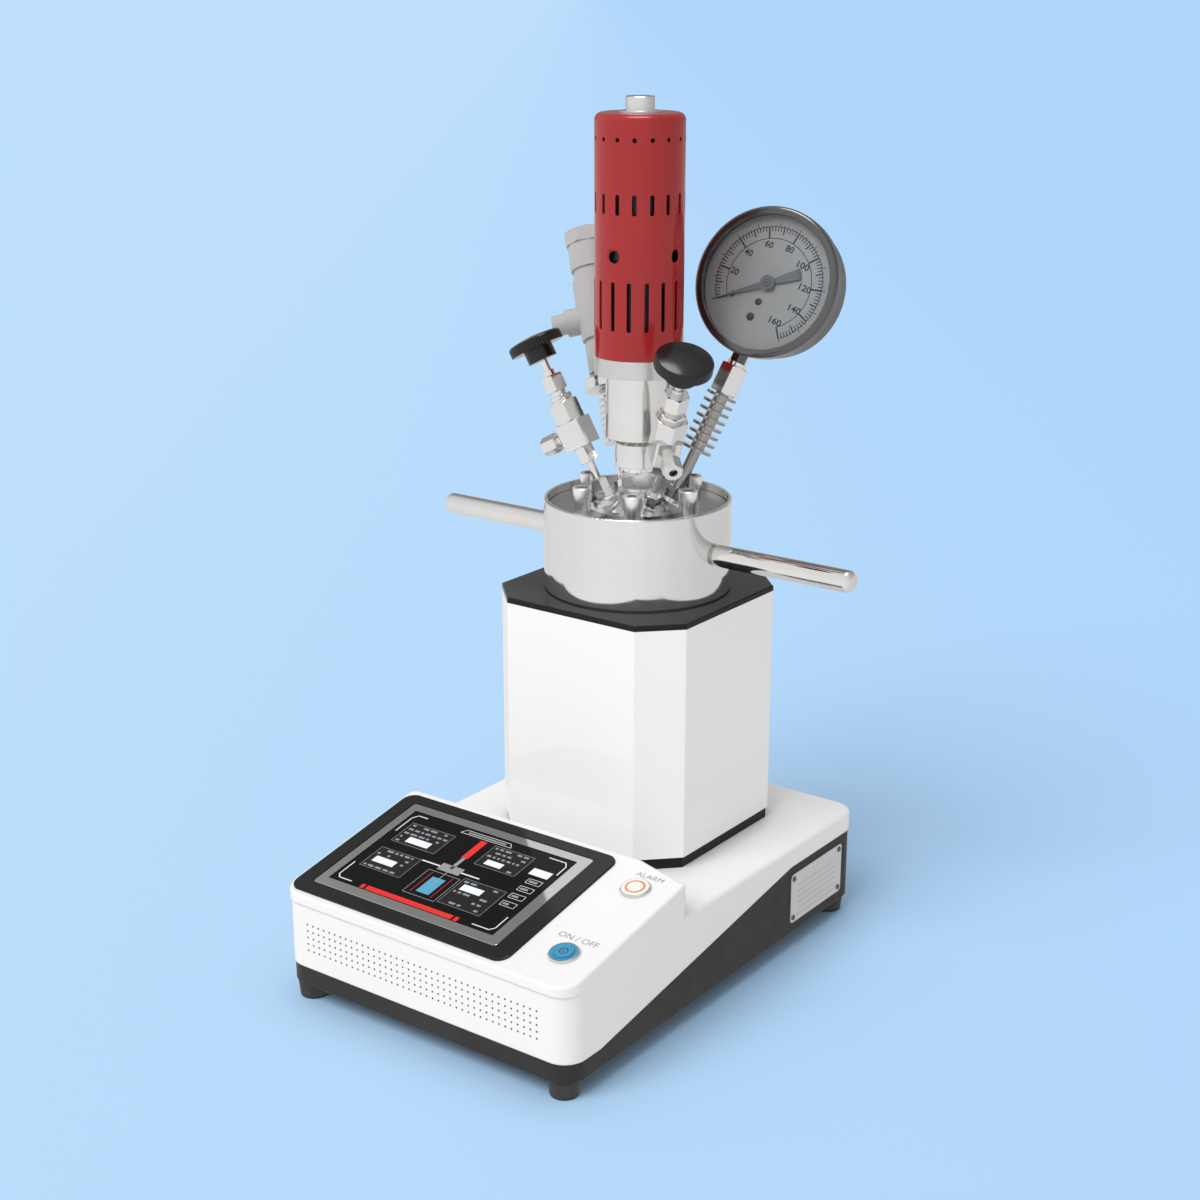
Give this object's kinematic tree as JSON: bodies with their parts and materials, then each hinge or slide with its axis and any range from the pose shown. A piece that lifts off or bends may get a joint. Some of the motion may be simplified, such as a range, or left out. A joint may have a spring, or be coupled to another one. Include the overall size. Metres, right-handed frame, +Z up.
{
  "type": "high pressure reactor",
  "caption": "Bench high pressure reactor: clamped steel vessel in an eight-sided furnace, magnetic stirrer drive, needle valves, gauge, temperature sensor, touch panel base.",
  "frame": {"origin": "on the table under the centre of the base", "axes": "+X to the right seen from the front, +Y to the back, +Z up"},
  "size_m": [0.3852, 0.3904, 0.6565],
  "materials": {
    "tray_grey": "satin",
    "shell_white": "gloss",
    "rubber_black": "matte",
    "bezel_black": "gloss",
    "frame_grey": "satin",
    "screen": "gloss",
    "button_steel": "satin",
    "button_blue": "gloss",
    "lamp_white": "gloss",
    "plate_silver": "satin",
    "furnace_black": "gloss",
    "furnace_white": "gloss",
    "insulation": "matte",
    "heater": "matte",
    "polished_steel": "polished",
    "steel": "satin",
    "seal_grey": "matte",
    "magnet_dark": "satin",
    "motor_dark": "satin",
    "cover_red": "gloss",
    "knob_black": "satin",
    "gauge_case": "satin",
    "gauge_dark": "polished",
    "dial_silver": "matte",
    "window": "gloss",
    "pointer_dark": "satin",
    "sensor_grey": "satin"
  },
  "bodies": {
    "base": {"alarm_lamp_lens": "lamp_white", "alarm_lamp_ring": "button_steel", "cable_gland": "sensor_grey", "cap_bolts": "polished_steel", "carry_bar_left": "polished_steel", "carry_bar_right": "polished_steel", "chassis_tray": "tray_grey", "drive_housing": "polished_steel", "drive_neck": "polished_steel", "drop_band": "polished_steel", "feet": "rubber_black", "furnace_insulation": "insulation", "furnace_jacket": "furnace_white", "furnace_plinth": "furnace_black", "furnace_top_plate": "furnace_black", "gauge_bezel": "gauge_dark", "gauge_case": "gauge_case", "gauge_coupling": "polished_steel", "gauge_dial": "dial_silver", "gauge_siphon": "polished_steel", "gauge_window": "window", "heating_block": "heater", "left_bonnet": "polished_steel", "left_outlet_nut": "polished_steel", "left_packing_nut": "polished_steel", "left_tail": "polished_steel", "left_valve_block": "polished_steel", "lid_seal": "seal_grey", "motor_body": "motor_dark", "motor_cover": "cover_red", "motor_flange": "polished_steel", "panel_bezel": "bezel_black", "panel_frame": "frame_grey", "power_button_ring": "button_steel", "rating_plate": "plate_silver", "right_bonnet": "polished_steel", "right_outlet_nut": "polished_steel", "right_packing_nut": "polished_steel", "right_tail": "polished_steel", "right_valve_block": "polished_steel", "screen_glass": "screen", "sensor_cap": "sensor_grey", "sensor_head": "sensor_grey", "sensor_well": "polished_steel", "split_ring_left": "polished_steel", "split_ring_right": "polished_steel", "top_stub": "polished_steel", "upper_shell": "shell_white", "vessel_cup": "steel", "vessel_lid": "polished_steel"},
    "left_stem": {"left_valve_stem": "polished_steel"},
    "left_knob": {"left_valve_knob": "knob_black"},
    "right_stem": {"right_valve_stem": "polished_steel"},
    "right_knob": {"right_valve_knob": "knob_black"},
    "power_button": {"power_button_cap": "button_blue"},
    "gauge_needle": {"gauge_pointer": "pointer_dark"},
    "drive_rotor": {"outer_rotor": "magnet_dark"},
    "stirrer": {"inner_rotor": "magnet_dark", "stirrer_shaft": "steel"}
  },
  "joints": [
    {"name": "left_valve_rise", "type": "slide", "parent": "base", "child": "left_stem", "axis": [-0.4663, -0.0764, 0.8813], "range_m": [0, 0.00275]},
    {"name": "left_valve_turn", "type": "hinge", "parent": "left_stem", "child": "left_knob", "pos_m": [-0.08132, 0.05943, 0.45545], "axis": [-0.4663, -0.0764, 0.8813], "range_deg": [0, 990]},
    {"name": "right_valve_rise", "type": "slide", "parent": "base", "child": "right_stem", "axis": [0.3807, -0.2558, 0.8886], "range_m": [0, 0.00275]},
    {"name": "right_valve_turn", "type": "hinge", "parent": "right_stem", "child": "right_knob", "pos_m": [0.07054, 0.02535, 0.46396], "axis": [0.3807, -0.2558, 0.8886], "range_deg": [0, 990]},
    {"name": "power_button_press", "type": "slide", "parent": "base", "child": "power_button", "axis": [0, 0.1905, -0.9817], "range_m": [0, 0.002], "stiffness_N_per_m": 600},
    {"name": "gauge_needle_sweep", "type": "hinge", "parent": "base", "child": "gauge_needle", "pos_m": [0.06641, 0.15564, 0.51436], "axis": [0.1551, -0.9393, 0.3061], "range_deg": [-270, 0], "stiffness_Nm_per_rad": 0.002},
    {"name": "drive_rotor_spin", "type": "hinge", "parent": "base", "child": "drive_rotor", "pos_m": [0, 0.07275, 0.44], "axis": [0, 0, 1], "continuous": true},
    {"name": "stirrer_spin", "type": "hinge", "parent": "base", "child": "stirrer", "pos_m": [0, 0.07275, 0.3], "axis": [0, 0, 1], "continuous": true}
  ],
  "couplings": [
    {"joint": "left_valve_rise", "follows": "left_valve_turn", "m_per_rad": 0.00015915},
    {"joint": "right_valve_rise", "follows": "right_valve_turn", "m_per_rad": 0.00015915},
    {"joint": "stirrer_spin", "follows": "drive_rotor_spin", "ratio": 1}
  ]
}
